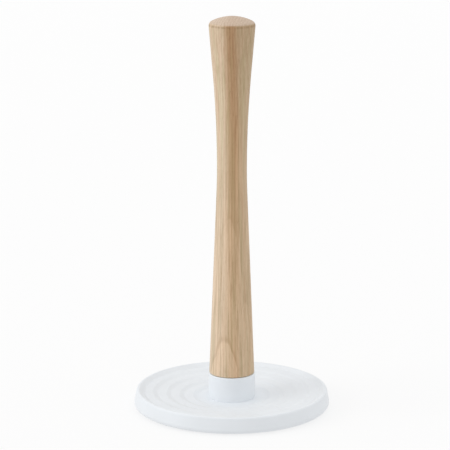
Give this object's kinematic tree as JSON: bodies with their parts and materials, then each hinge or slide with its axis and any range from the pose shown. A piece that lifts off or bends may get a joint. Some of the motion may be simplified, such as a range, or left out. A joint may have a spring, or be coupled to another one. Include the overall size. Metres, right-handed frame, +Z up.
{
  "type": "paper towel holder",
  "caption": "Free-standing paper towel holder: a turned wooden post with a waist and a domed head spins in a white collar on a round, weighted base with a terraced dish.",
  "frame": {"origin": "on the table, under the middle of the base, on the post's axis", "axes": "+Z up along the post; the base is round, so +X and +Y are free"},
  "size_m": [0.16, 0.16, 0.322],
  "materials": {
    "post_wood": "satin, oiled, fine straight grain",
    "white_shell": "satin white",
    "white_cover": "fine matt texture",
    "bush_plastic": "natural, slightly waxy",
    "ballast_steel": "black dip-painted steel",
    "screw_steel": "zinc-plated",
    "clip_steel": "blackened spring steel",
    "spindle_steel": "fine turned",
    "insert_brass": "turned",
    "foot_rubber": "matt grey"
  },
  "bodies": {
    "base": {"base_shell": "white_shell", "collar": "white_shell", "collar_screws": "screw_steel", "upper_bush": "bush_plastic", "lower_bush": "bush_plastic", "thrust_washer": "bush_plastic", "ballast_ring": "ballast_steel", "bottom_cover": "white_cover", "cover_screws": "screw_steel", "foot_1": "foot_rubber", "foot_2": "foot_rubber", "foot_3": "foot_rubber", "foot_4": "foot_rubber", "foot_5": "foot_rubber", "foot_6": "foot_rubber"},
    "post": {"post": "post_wood", "threaded_insert": "insert_brass", "spindle": "spindle_steel", "spindle_washer": "screw_steel", "retaining_clip": "clip_steel"}
  },
  "joints": [
    {"name": "post_spin", "type": "hinge", "parent": "base", "child": "post", "pos_m": [0, 0, 0.02875], "axis": [0, 0, 1], "continuous": true}
  ]
}
